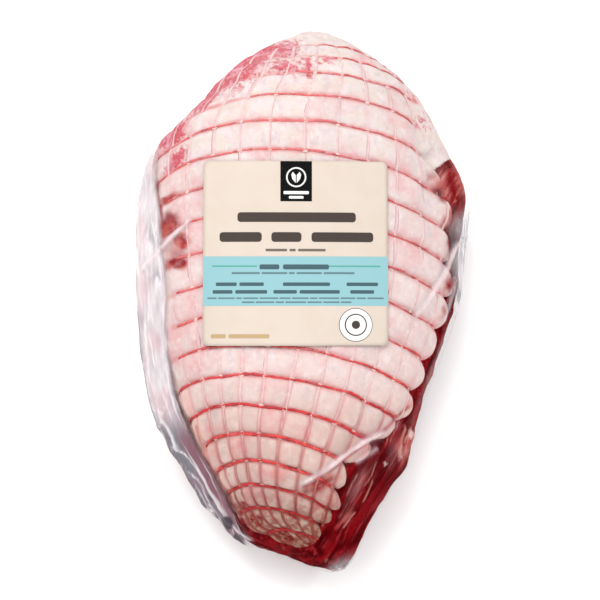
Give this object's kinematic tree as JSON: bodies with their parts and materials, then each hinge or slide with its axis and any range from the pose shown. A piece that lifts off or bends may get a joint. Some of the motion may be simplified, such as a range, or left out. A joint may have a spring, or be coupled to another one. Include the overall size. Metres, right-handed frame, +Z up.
{
  "type": "packed leg of lamb",
  "caption": "Raw boneless leg of lamb, netted in elastic cord and sealed in a clear shrink bag that hugs it, with a square paper label on its upper side.",
  "frame": {"origin": "bottom of the pack, in the middle of its length and width", "axes": "+Z up from the flat underside, +Y towards the thick end of the leg, +X to the right seen from the narrow end"},
  "size_m": [0.167, 0.2766, 0.1047],
  "materials": {
    "film_pack": "clear glossy film over pale pink fat, red cord and dark red lean",
    "label_paper": "cream coated paper with a pale blue band"
  },
  "bodies": {
    "root": {"vacuum_pack": "film_pack", "label": "label_paper"}
  },
  "joints": []
}
